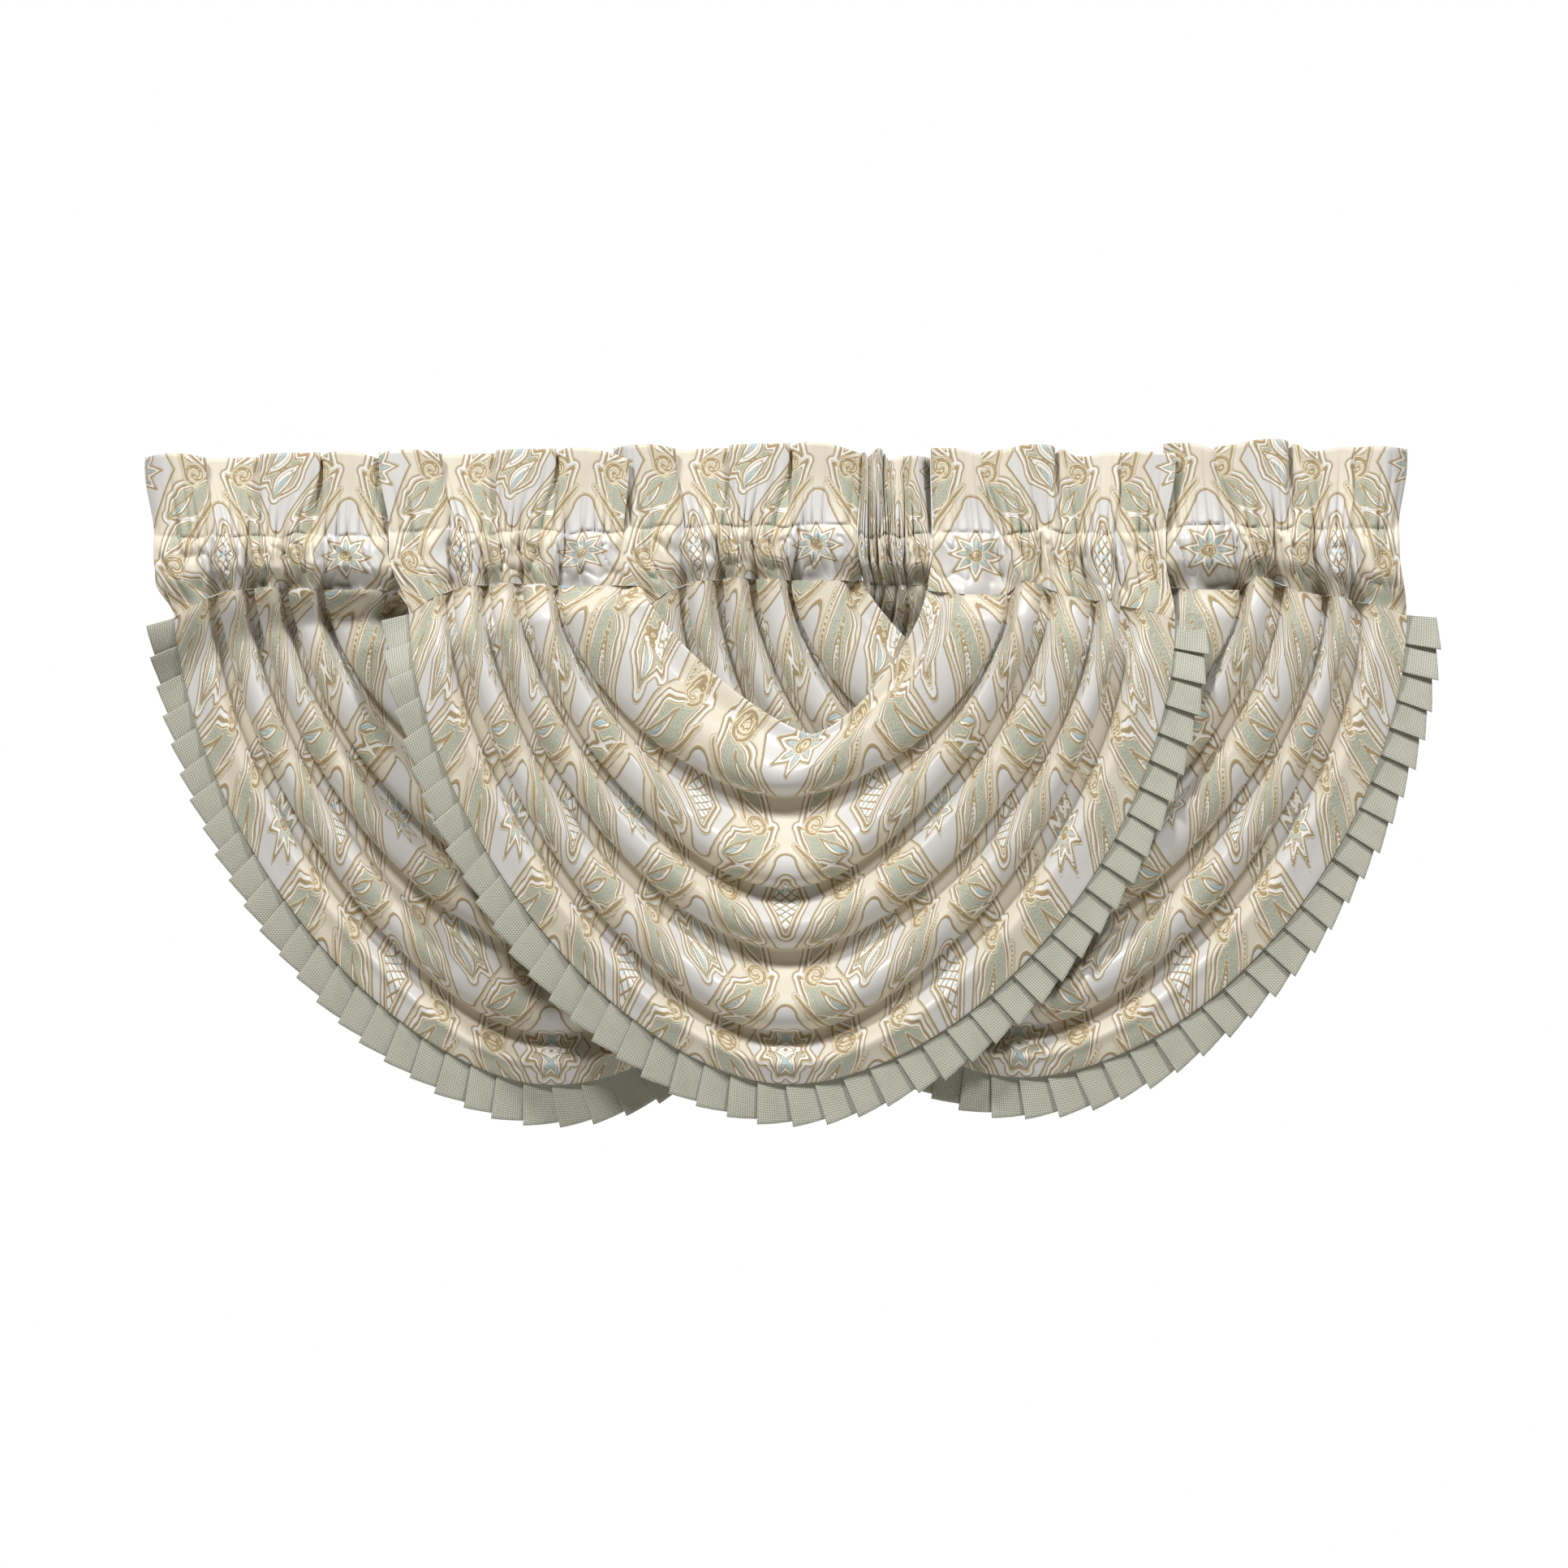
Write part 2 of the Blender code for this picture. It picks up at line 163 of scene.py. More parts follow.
def seam_starts(valance, side):
    if side == "left":
        limit = NECK_LEFT.get(valance.name, 0)
        return [(min(line.left_x, limit), line.left_z) for line in LINES]
    starts = [(line.right_x, line.right_z) for line in LINES]
    if crowded_side(valance, side):
        ends = (starts[0][0], starts[-1][0])
        starts = [(crowd(x, ends, CROWDED_SEAM), CROWDED_SEAM_Z) for x, _ in starts]
    return starts


def half_line(start, low, bend, count):
    angle = np.linspace(0.0, math.pi / 2.0, 900)
    x = low[0] + (start[0] - low[0]) * np.cos(angle) ** (2.0 / bend)
    z = start[1] + (low[1] - start[1]) * np.sin(angle) ** (2.0 / bend)
    length = np.concatenate([[0.0], np.cumsum(np.hypot(np.diff(x), np.diff(z)))])
    even = np.linspace(0.0, length[-1], count)
    return np.column_stack([np.interp(even, length, x), np.interp(even, length, z)])


def swag_line(valance, index, stations):
    line = LINES[index]
    half = stations // 2 + 1
    low = (line.low_x, line.low_z)
    left = half_line(seam_starts(valance, "left")[index], low, line.left_bend, half)
    right = half_line(seam_starts(valance, "right")[index], low, line.right_bend, half)
    whole = np.vstack([left, right[-2::-1]])
    return softened_low(whole, LOW_IS_SOFT[index])


def softened_low(line, reach):
    """Rounds a line's lowest stretch over a share of its length, and keeps its lowest height."""
    count = len(line)
    sigma = reach * count
    span = int(3 * sigma)
    kernel = np.exp(-0.5 * (np.arange(-span, span + 1) / sigma) ** 2)
    padded = np.pad(line[:, 1], span, mode="edge")
    round_z = np.convolve(padded, kernel / kernel.sum(), mode="valid")
    near = np.exp(-0.5 * ((np.arange(count) - count // 2) / (0.11 * count)) ** 2)
    z = mix(line[:, 1], round_z, near)
    z = z - near * (z[count // 2] - line[count // 2, 1])
    return np.column_stack([line[:, 0], z])


def down_of(stations):
    """0 at either seam and 1 at the middle, for each station."""
    return 1.0 - np.abs(np.arange(stations + 1) - stations / 2.0) / (stations / 2.0)


def fold_half_depth(valance, side, down):
    at_seam, opens = FOLD_AT_SEAM, FOLD_OPENS
    if crowded_side(valance, side):
        at_seam, opens = FOLD_AT_SEAM * CROWDED_FOLD, CROWDED_OPENS
    half = at_seam + (FOLD_AT_SIDE - at_seam) * smooth(down / opens)
    return half + (FOLD_AT_CENTRE - FOLD_AT_SIDE) * smooth((down - 0.5) / 0.5)


def layer_depth(valance, side, down):
    seam = valance.left_seam if side == "left" else valance.right_seam
    return seam + (valance.layer - seam) * smooth(down / LAYER_REACH)


def by_side(stations, measure, valance):
    """A measure of the left side on the left half, and of the right side on the right half."""
    down = down_of(stations)
    on_left = np.arange(stations + 1) < stations / 2.0
    return np.where(on_left, measure(valance, "left", down), measure(valance, "right", down))


def under_flank(even, fullness):
    """From a crest (0) down round its underside to the valley (1): place and depth shares."""
    most = math.radians(90.0) + math.radians(UNDERCUT) * fullness
    angle = even * most
    return np.sin(angle), (1.0 - np.cos(angle)) / (1.0 - np.cos(most))


def upper_flank(even, fullness):
    """From a valley (0) out to the next crest (1): a floor and a wall, gentle where the fold is open."""
    most = math.radians(80.0)
    angle = (1.0 - np.clip((even - 0.2) / 0.8, 0.0, 1.0)) * most
    floor = VALLEY_FLOOR * np.clip(even / 0.2, 0.0, 1.0)
    tube_place = floor + (1.0 - VALLEY_FLOOR) * (1.0 - np.sin(angle) / math.sin(most))
    tube_depth = (1.0 - np.cos(angle)) / (1.0 - math.cos(most))
    wave_depth = 0.5 + 0.5 * np.cos(math.pi * even ** 1.25)
    return mix(even, tube_place, fullness), mix(wave_depth, tube_depth, fullness)


def swag_sheet(valance, seed):
    """Rows of the draped cloth, with each point's place on the flat cut."""
    down = down_of(STATIONS)
    lines = np.array([swag_line(valance, index, STATIONS) for index in range(len(LINES))])
    half_depth = by_side(STATIONS, fold_half_depth, valance)
    layer = by_side(STATIONS, layer_depth, valance)
    fullness = (0.7 + 0.3 * smooth(down / 0.1)) * (1.0 - 0.85 * smooth((down - 0.5) / 0.42))
    tuck = 1.0 - np.sin(math.radians(90.0) + math.radians(UNDERCUT) * fullness)
    rows, places = [], []
    for index, steps in enumerate(ROWS_BETWEEN):
        upper, lower = LINES[index].depth, LINES[index + 1].depth
        last = index == len(ROWS_BETWEEN) - 1
        for step in range(steps + (1 if last else 0)):
            even = np.full(STATIONS + 1, step / steps)
            shift = np.zeros((STATIONS + 1, 2))
            if last:
                share, profile = even, mix(upper, lower, even)
            elif upper < lower:
                share, profile = under_flank(even, fullness)
                profile = mix(upper, lower, profile)
            else:
                share, profile = upper_flank(even, fullness)
                profile = mix(lower, upper, profile)
                if index:
                    back = (lines[index - 1] - lines[index]) * tuck[:, None]
                    shift = back * (1.0 - even[:, None]) ** 3
            place = mix(lines[index], lines[index + 1], share[:, None]) + shift
            rows.append(np.column_stack([place[:, 0], layer + half_depth * profile, place[:, 1]]))
            places.append(index + step / steps)
    grid = np.array(rows)
    ripple_swag(grid, np.array(places), down, seed)
    middle = grid[:, STATIONS // 2]
    across = np.concatenate([[0.0], np.cumsum(np.linalg.norm(np.diff(middle, axis=0), axis=1))])
    along = np.cumsum(np.linalg.norm(np.diff(grid, axis=1), axis=2), axis=1)
    along = np.concatenate([np.zeros((len(grid), 1)), along], axis=1)
    along -= along[:, STATIONS // 2:STATIONS // 2 + 1]
    flat = np.stack([along, np.repeat(across[:, None], STATIONS + 1, axis=1)], axis=2)
    return grid, flat


def ripple_swag(grid, places, down, seed):
    """Adds the gathers below the seam, the drag lines and the small unevenness of hung cloth."""
    along = np.cumsum(np.linalg.norm(np.diff(grid[60], axis=0), axis=1))
    along = np.concatenate([[0.0], along])[None, :]
    across = places[:, None]
    free = smooth(down / 0.16)[None, :]
    inner = smooth((across - 0.2) / 0.6) * smooth((9.8 - across) / 0.5)
    gathers = Noise(seed).at(across * 3.4, along / 260.0 + 3.0)
    fine_gathers = Noise(seed + 1).at(across * 7.5, along / 120.0)
    near = np.exp(-down / 0.075)[None, :]
    push = near * (1.6 * gathers + 0.9 * fine_gathers)
    push = push + free * inner * 1.5 * Noise(seed + 2).at(across * 1.3, along / 150.0)
    drag = Noise(seed + 3).at(across * 2.6 + along / 130.0, along / 75.0)
    push = push + free * inner * 0.8 * drag
    grid[:, :, 1] += push
    sway = 1.6 * free * inner * Noise(seed + 4).at(across * 0.9, along / 110.0)
    grid[:, :, 2] += sway


def normals_of(grid):
    along = np.gradient(grid, axis=1)
    across = np.gradient(grid, axis=0)
    normal = np.cross(along, across)
    normal /= np.maximum(np.linalg.norm(normal, axis=2, keepdims=True), 1e-9)
    if normal[..., 1].mean() > 0.0:
        normal = -normal
    return normal


def with_turned_edges(grid, flat):
    """Turns the neckline and the hem back behind the cloth."""
    normal = normals_of(grid)
    across = np.gradient(grid, axis=0)
    across /= np.linalg.norm(across, axis=2, keepdims=True)

    def turned(row, inward, radius):
        made = []
        for angle in (math.pi * 0.25, math.pi * 0.5, math.pi * 0.75, math.pi):
            out = -inward * across[row] * radius * math.sin(angle)
            back = -normal[row] * radius * (1.0 - math.cos(angle))
            made.append(grid[row] + out + back)
        return made

    def returned(rows, radius):
        return [grid[row] - 2.0 * radius * normal[row] for row in rows]

    def reach(rows, limit):
        gone, kept = 0.0, []
        for here, after in zip(rows, rows[1:]):
            gone += float(np.linalg.norm(grid[after] - grid[here], axis=1).mean())
            kept.append(after)
            if gone > limit:
                break
        return kept

    last = len(grid) - 1
    top = turned(0, 1.0, NECK_TURN) + returned(reach(list(range(0, 40)), FACING), NECK_TURN)
    hem_rows = reach(list(range(last, last - 30, -1)), HEM_RETURN)
    low = turned(last, -1.0, HEM_TURN) + returned(hem_rows, HEM_TURN)
    whole = np.concatenate([np.array(top[::-1]), grid, np.array(low)])

    def flat_beyond(row, count, step):
        made = np.repeat(flat[row][None], count, axis=0)
        made[:, :, 1] += step * np.arange(1, count + 1)[:, None]
        return made

    upper = flat_beyond(0, len(top), -2.2)[::-1]
    lower = flat_beyond(last, len(low), 1.8)
    return whole, np.concatenate([upper, flat, lower])


# The headings: a header ruffle above a rod pocket, one strip folded over at the top

# One row for each bend of the header's top edge: x, depth, height. The cloth doubles
# back on itself where one pleat overlaps the next.
Bend = namedtuple("Bend", "x depth z")
LEFT_TOP = (
    Bend(-532, -1, 137), Bend(-510, -9, 140), Bend(-485, -11, 141), Bend(-462, -9, 138),
    Bend(-450, -3, 135), Bend(-455, 5, 134), Bend(-440, 9, 135), Bend(-415, 9, 136),
    Bend(-390, 8, 137), Bend(-374, 9, 137), Bend(-371, 3, 138), Bend(-380, -2, 140),
    Bend(-366, -8, 141), Bend(-340, -10, 142), Bend(-315, -9, 142), Bend(-301, -6, 143),
    Bend(-304, 3, 139), Bend(-292, 3, 138), Bend(-297, -4, 139), Bend(-286, -10, 143),
    Bend(-262, -13, 143), Bend(-235, -12, 138), Bend(-205, -6, 129),
)
RIGHT_TOP = (
    Bend(190, -3, 143), Bend(205, -9, 143), Bend(228, -12, 142), Bend(252, -8, 135),
    Bend(262, 0, 133), Bend(256, -3, 137), Bend(268, -9, 139), Bend(290, -11, 142),
    Bend(312, -12, 147), Bend(334, -11, 148), Bend(350, -6, 146), Bend(353, 4, 140),
    Bend(344, 8, 138), Bend(352, 10, 136), Bend(362, 1, 142), Bend(378, -2, 134),
    Bend(396, 4, 133), Bend(420, 6, 138), Bend(442, 4, 138), Bend(447, 2, 137),
    Bend(440, -3, 136), Bend(455, -9, 138), Bend(482, -11, 138), Bend(510, -5, 136),
)
# One row for each gather at the rod: x and how far the pocket stands out in front.
Puff = namedtuple("Puff", "x front")
LEFT_ROD = (Puff(-519, -4), Puff(-482, 1), Puff(-441, -16), Puff(-418, 8), Puff(-397, -14), Puff(-374, 9),
            Puff(-350, -16), Puff(-320, 8), Puff(-289, -15), Puff(-250, 14), Puff(-212, -6))
RIGHT_ROD = (Puff(193, -6), Puff(234, 14), Puff(279, -16), Puff(306, 8), Puff(334, -16), Puff(361, 9),
             Puff(386, -14), Puff(408, 8), Puff(433, -16), Puff(466, 2), Puff(498, -4))
COLUMNS = 250             # mesh columns in a heading
CROWDED_COLUMNS = 150
GATHER_Z = 37.0           # the gathering line between pocket and header
HEADER_FLAT = 105.0       # the header's and the pocket's height on the flat cloth
POCKET_FLAT = 88.0
HEADER_RIPPLE = 6.4       # fine gathers at the header's foot
HEADER_WAVE = 4.4         # its slower waves
POCKET_RIPPLE = 4.8       # fine gathers at the pocket's top
POCKET_RUCHE = 2.2        # the pocket's soft unevenness
POCKET_CREASE = 7.5       # its sharp creases
BACK_LOW = 0.85           # how far back a pocket reaches just above its seam, as a share
BACK_LOW_CENTRE = 0.55    # the same for the centre valance
HEADER_SWELL = 1.25       # how much further the header's pleats stand out than the tables say
LAYER_GAP = 1.5           # from the header's middle to its front and its back layer


def spline(rows, count):
    """A smooth curve through rows of numbers, evenly spaced along its length."""
    points = np.array(rows, float)
    padded = np.vstack([2 * points[0] - points[1], points, 2 * points[-1] - points[-2]])
    fine = []
    for k in range(1, len(padded) - 2):
        t = np.linspace(0.0, 1.0, 24, endpoint=False)[:, None]
        a, b, c, d = padded[k - 1], padded[k], padded[k + 1], padded[k + 2]
        fine.append(0.5 * (2 * b + (c - a) * t + (2 * a - 5 * b + 4 * c - d) * t ** 2
                           + (3 * b - a - 3 * c + d) * t ** 3))
    fine = np.vstack(fine + [points[-1:]])
    length = np.concatenate([[0.0], np.cumsum(np.linalg.norm(np.diff(fine, axis=0), axis=1))])
    even = np.linspace(0.0, length[-1], count)
    return np.column_stack([np.interp(even, length, fine[:, k]) for k in range(fine.shape[1])]), length[-1]


def seam_curve(valance, side, x):
    """Height and depth of the heading's lower seam at x."""
    starts = seam_starts(valance, side)
    xs = np.array([p[0] for p in starts])
    order = np.argsort(xs)
    z = np.interp(x, xs[order], np.array([p[1] for p in starts])[order])
    seam = valance.left_seam if side == "left" else valance.right_seam
    fold = FOLD_AT_SEAM * (CROWDED_FOLD if crowded_side(valance, side) else 1.0)
    depth = np.array([line.depth for line in LINES])
    return z, seam + fold * np.interp(x, xs[order], depth[order])


def creased(share, heights):
    """Broad puffs with sharp creases between them, through evenly spaced heights."""
    heights = np.array(heights, float)
    place = share * (len(heights) - 1)
    index = np.minimum(place.astype(int), len(heights) - 2)
    gone = place - index
    first, second = heights[index], heights[index + 1]
    from_crest = np.where(first > second, gone, 1.0 - gone)
    high, low = np.maximum(first, second), np.minimum(first, second)
    return high - (high - low) * from_crest ** 3.2


def heading_sheet(valance, side, seed):
    """The folded strip: up the front from the seam, over the top edge and down the back."""
    crowded = crowded_side(valance, side)
    count = CROWDED_COLUMNS if crowded else COLUMNS
    tops = LEFT_TOP if side == "left" else RIGHT_TOP
    rods = LEFT_ROD if side == "left" else RIGHT_ROD
    top, width = spline([(b.x, b.depth, b.z) for b in tops], count + 1)
    share = np.linspace(0.0, 1.0, count + 1)
    starts = seam_starts(valance, side)
    order = slice(None, None, -1) if side == "left" else slice(None)
    seam_x = np.interp(share, np.linspace(0, 1, len(starts)), [p[0] for p in starts][order])
    rod_x = np.interp(share, np.linspace(0, 1, len(rods)), [p.x for p in rods])
    puff = creased(share, [p.front for p in rods])
    if crowded:
        top[:, 0] = crowd(top[:, 0], (tops[0].x, tops[-1].x), CROWDED_TOP)
        rod_x = crowd(rod_x, (rods[0].x, rods[-1].x), CROWDED_ROD)
        top[:, 1] *= 0.7
    at_end = np.exp(-np.minimum(share, 1.0 - share) * width / 14.0)
    top[:, 1] = mix(top[:, 1], valance.end_depth, at_end)
    seam_z, seam_depth = seam_curve(valance, side, seam_x)

    noise = [Noise(seed + k) for k in range(6)]
    u = share * width
    quiet = 1.0 - 0.85 * at_end
    packing = 1.35 if crowded else 1.0
    pleats = -creased(np.mod(u / 19.0 + 1.2 * noise[0].at(u / 40.0, 0.5), 1.0), [-1.0, 1.0, -1.0])
    ripple = 0.9 * pleats + 0.45 * noise[1].at(u / 5.5, 7.5)
    slow = noise[2].at(u / 23.0, 2.5)
    gather_z = GATHER_Z + 6.0 * noise[1].at(u / 30.0, 3.5)

    rows = []
    places = []

    def add(x, y, z, place):
        rows.append(np.column_stack([x, y, z]))
        places.append(np.full(len(x), float(place)))

    def header_row(t, half_gap):
        """The header t of the way from the gathering line (0) to its top edge (1)."""
        z = gather_z + (top[:, 2] - gather_z) * t
        x = mix(rod_x, top[:, 0], smooth(t * 1.15) ** 0.85)
        y = top[:, 1] * mix(0.4, HEADER_SWELL, t ** 0.75) + half_gap
        pinch = math.exp(-t * 2.9)
        gathers = HEADER_RIPPLE * ripple * packing * pinch
        y = y + quiet * (gathers + HEADER_WAVE * slow * math.exp(-t * 1.3))
        y = y - quiet * 0.4 * (puff + 4.0) * pinch ** 1.5
        return x, y, z + 1.6 * ripple * pinch

    pocket_steps, header_steps, top_steps, back_steps = 36, 26, 5, 16
    for step in range(pocket_steps):
        t = step / pocket_steps
        # from the seam (t 0), where the swag's folds begin, up to the gathering line (t 1)
        shut = smooth((t - 0.66) / 0.34)
        z = seam_z + (gather_z - seam_z) * t
        x = mix(seam_x, rod_x, smooth(t / 0.7))
        tube = mix(seam_depth - 1.2, -(POCKET_HALF_DEPTH + puff), smooth(t / 0.45))
        y = mix(tube, -0.5 + 0.4 * top[:, 1], 1.0 - math.sqrt(1.0 - shut ** 2))
        soft = quiet * (1.0 - shut) * (0.25 + 0.75 * smooth(t / 0.35))
        ruche = noise[3].at(u / 13.0 + 2.2 * t, t * 2.6)
        ruche = ruche + 0.6 * noise[4].at(u / 7.0 - 1.8 * t, t * 4.2)
        crease = (1.0 - np.abs(noise[5].at(u / 12.0 + 1.6 * t, t * 2.0))) ** 5
        y = y + soft * (POCKET_RUCHE * ruche + POCKET_CREASE * crease)
        y = y + quiet * POCKET_RIPPLE * ripple * smooth((t - 0.35) / 0.65)
        z = z + soft * 3.0 * noise[4].at(u / 19.0, t * 2.2 + 5.0) * math.sin(math.pi * t)
        x = x + soft * 2.6 * noise[2].at(u / 9.0 + 9.0, t * 3.0)
        add(x, y, z, HEADER_FLAT + POCKET_FLAT * (1.0 - t))
    for step in range(header_steps):
        t = step / header_steps
        x, y, z = header_row(t, -LAYER_GAP)
        bump = 1.6 * noise[5].at(u / 34.0, t * 1.7) * math.sin(math.pi * t)
        add(x, y + bump, z, HEADER_FLAT * (1.0 - t))
    for step in range(top_steps):
        angle = math.pi * (step + 0.5) / top_steps
        lift = 0.9 * math.sin(angle)
        y = HEADER_SWELL * top[:, 1] - LAYER_GAP * math.cos(angle)
        add(top[:, 0], y, top[:, 2] + lift, -1.0)
    for step in range(header_steps):
        t = 1.0 - (step + 1) / header_steps
        x, y, z = header_row(t, LAYER_GAP)
        add(x, y, z, -HEADER_FLAT * (1.0 - t))
    for step in range(1, back_steps + 1):
        t = 1.0 - step / back_steps
        round_out = math.sin(math.pi * min(t * 1.02, 1.0)) ** 0.62
        z = seam_z + (gather_z - seam_z) * t
        x = mix(seam_x, rod_x, smooth(t / 0.45))
        back = (POCKET_HALF_DEPTH - 2.5) * round_out
        low = BACK_LOW_CENTRE if valance.name == "valance2" else BACK_LOW
        back = back * mix(low, 1.0, smooth((z.mean() + 42.0) / 40.0))
        base = mix(seam_depth + 1.0, 0.5 + 0.4 * top[:, 1], smooth(t))
        y = base * (1.0 - round_out) + back
        unrest = 1.2 * ripple * t + 0.9 * noise[3].at(u / 14.0, t * 2.0)
        y = y + quiet * (0.35 + 0.65 * round_out) * unrest
        add(x, y, z, -HEADER_FLAT - POCKET_FLAT * (1.0 - t))
    grid = np.array(rows)
    flat = np.stack([np.repeat(u[None, :], len(grid), axis=0), np.array(places)], axis=2)
    if side == "right":
        flat[..., 0] = width - flat[..., 0]
    return grid, flat


# The trim

# One row for each step round the hem, from its left end to its right end: the trim's
# width and how far its pleats lean along the hem, in degrees.
Fringe = namedtuple("Fringe", "along width lean")
TRIM_SHAPE = (
    Fringe(0.00, 34, 14),
    Fringe(0.20, 45, 16),
    Fringe(0.32, 54, 15),
    Fringe(0.45, 54, 14),
    Fringe(0.60, 54, 6),
    Fringe(0.80, 48, -3),
    Fringe(1.00, 44, -6),
)
TRIM_TUCK = 5.0           # how far the trim reaches up behind the hem
TRIM_DEPTH = 2.9          # behind the hem's middle surface
# One row for each bend of one pleat, along the pitch: share of the pitch, depth.
Ply = namedtuple("Ply", "share depth")
PLEAT = (
    Ply(0.00, 0.10), Ply(-0.015, 0.0), Ply(0.02, -0.02), Ply(0.15, 0.08), Ply(0.35, 0.26), Ply(0.60, 0.50),
    Ply(0.85, 0.74), Ply(1.00, 0.86), Ply(1.12, 0.95), Ply(1.27, 1.0), Ply(1.30, 0.92), Ply(1.26, 0.86),
    Ply(1.14, 0.70), Ply(1.05, 0.42),
)
TRIM_ROWS = 12


def trim_sheet(valance, seed):
    fine = 2400
    hem = swag_line(valance, len(LINES) - 1, fine)
    tangent = np.gradient(hem, axis=0)
    tangent /= np.linalg.norm(tangent, axis=1, keepdims=True)
    outward = np.column_stack([tangent[:, 1], -tangent[:, 0]])
    layer = by_side(fine, layer_depth, valance)
    random = np.random.default_rng(seed)
    places = [row.along for row in TRIM_SHAPE]
    grid = []
    flat = []
    length = 0.0
    for pleat in range(PLEATS):
        grow, tilt, open_up = random.uniform(-1.0, 1.0, 3)
        for ply in PLEAT:
            if pleat == PLEATS - 1 and ply.share > 1.0:
                continue
            along = np.clip((pleat + ply.share) / PLEATS, 0.0, 1.0)
            place = along * fine
            index = min(int(place), fine - 1)
            point = mix(hem[index], hem[index + 1], place - index)
            width = float(np.interp(along, places, [row.width for row in TRIM_SHAPE]))
            lean = float(np.interp(along, places, [row.lean for row in TRIM_SHAPE]))
            lean = math.radians(lean + 2.0 * tilt)
            reach = outward[index] * math.cos(lean) + tangent[index] * math.sin(lean)
            width += 1.3 * grow + 7.0 * (0.5 - ply.share)
            column, cloth = [], []
            for row in range(TRIM_ROWS + 4):
                t = min(row / TRIM_ROWS, 1.0)
                spread = mix(3.2, 8.2 + 1.3 * open_up, t ** 0.8)
                depth = layer[index] + TRIM_DEPTH + spread * ply.depth
                depth += 0.5 * math.sin(math.pi * t) * open_up
                away = -TRIM_TUCK + (width + TRIM_TUCK) * t
                if row > TRIM_ROWS:
                    back = row - TRIM_ROWS
                    depth += (0.25, 0.5, 0.6)[back - 1]
                    away += (0.2, -0.3, -5.0)[back - 1]
                at = point + reach * max(away, 0.0) + outward[index] * min(away, 0.0)
                column.append((at[0], depth, at[1]))
                cloth.append(away if row <= TRIM_ROWS else width + 2.0 * (row - TRIM_ROWS))
            if grid:
                length += math.dist(column[TRIM_ROWS], grid[-1][TRIM_ROWS])
            grid.append(column)
            flat.append([(length, reached) for reached in cloth])
    return np.array(grid).transpose(1, 0, 2), np.array(flat).transpose(1, 0, 2)


# The jacquard's pattern, as signed distances on the flat cloth, in millimetres

# A motif has a spine through a few points, its half width along the spine, and lobes
# along its edge. Each belongs to one layer, and a layer has one look.
Motif = namedtuple("Motif", "layer points width lobes")


def motif(layer, points, width, lobes=(0, 0.0)):
    return Motif(layer, points, width, lobes)


LAYERS = ("silver", "net", "sage", "white", "blue", "cord")
REACH = 14.0              # distances are kept up to this
REPEAT = 240.0            # the design's repeat, down and over two columns
SCROLL_POINTS = 13
SCROLL_TURNS = 1.15
SCROLL_SHRINK = 0.74      # share of its radius that a scroll loses on its way


def spine_of(points, count=26):
    curve, _ = spline(points, count) if len(points) > 2 else (np.linspace(points[0], points[1], count), 0)
    return curve


def motif_distance(shape, u, v):
    """Signed distance from each point of the cloth to the motif's edge, inside negative."""
    curve = spine_of(shape.points)
    best = np.full(u.shape, 1e9)
    along = np.zeros(u.shape)
    side = np.zeros(u.shape)
    for k in range(len(curve) - 1):
        a, b = curve[k], curve[k + 1]
        step = b - a
        t = np.clip(((u - a[0]) * step[0] + (v - a[1]) * step[1]) / max(step @ step, 1e-9), 0.0, 1.0)
        du, dv = u - a[0] - t * step[0], v - a[1] - t * step[1]
        away = np.hypot(du, dv)
        nearer = away < best
        best = np.where(nearer, away, best)
        along = np.where(nearer, (k + t) / (len(curve) - 1), along)
        side = np.where(nearer, np.sign(step[0] * dv - step[1] * du), side)
    places = np.linspace(0.0, 1.0, len(shape.width))
    half = np.interp(along, places, shape.width)
    count, depth = shape.lobes
    if count:
        wave = 0.5 - 0.5 * np.cos(2.0 * math.pi * (along * count + 0.3 * (side > 0)))
        half = half * (1.0 - depth + depth * wave)
    return best - half


def add_motif(fields, shape, u, v):
    points = np.array(shape.points, float)
    margin = max(shape.width) + REACH
    near = ((u > points[:, 0].min() - margin) & (u < points[:, 0].max() + margin)
            & (v > points[:, 1].min() - margin) & (v < points[:, 1].max() + margin))
    if not near.any():
        return
    field = fields[shape.layer]
    field[near] = np.minimum(field[near], motif_distance(shape, u[near], v[near]))


def leaf(at, heading, size, layer="sage", curl=0.25, width=0.27, lobes=(0, 0.0)):
    """A pointed leaf from its foot, along a heading in degrees, curling to one side."""
    angle = math.radians(heading)
    ahead = np.array([math.cos(angle), math.sin(angle)])
    aside = np.array([-ahead[1], ahead[0]])
    points = [tuple(np.array(at) + size * (t * ahead + curl * t * t * aside)) for t in (0.0, 0.35, 0.7, 1.0)]
    shape = [0.02, width * 0.75, width, width * 0.8, width * 0.35, 0.0]
    return motif(layer, points, [size * s for s in shape], lobes)


def plume(at, heading, size, curl=0.25, lobes=(3, 0.13)):
    """A stippled leaf with a pale heart and a blue vein."""
    return [leaf(at, heading, size, "sage", curl, 0.25, lobes),
            leaf(at, heading, size * 0.58, "white", curl, 0.10),
            leaf(at, heading, size * 0.46, "blue", curl, 0.035)]


def loop(at, heading, size, curl=0.3):
    """A smooth stippled leaf with nothing in it."""
    return [leaf(at, heading, size, "sage", curl, 0.19)]


def paisley(at, heading, size, curl=0.7):
    """A curled drop with a white heart, a blue stroke and stippled cloth round it."""
    return [leaf(at, heading, size, "sage", curl, 0.34),
            leaf(at, heading, size * 0.80, "white", curl, 0.20),
            leaf(at, heading, size * 0.6, "blue", curl, 0.05)]


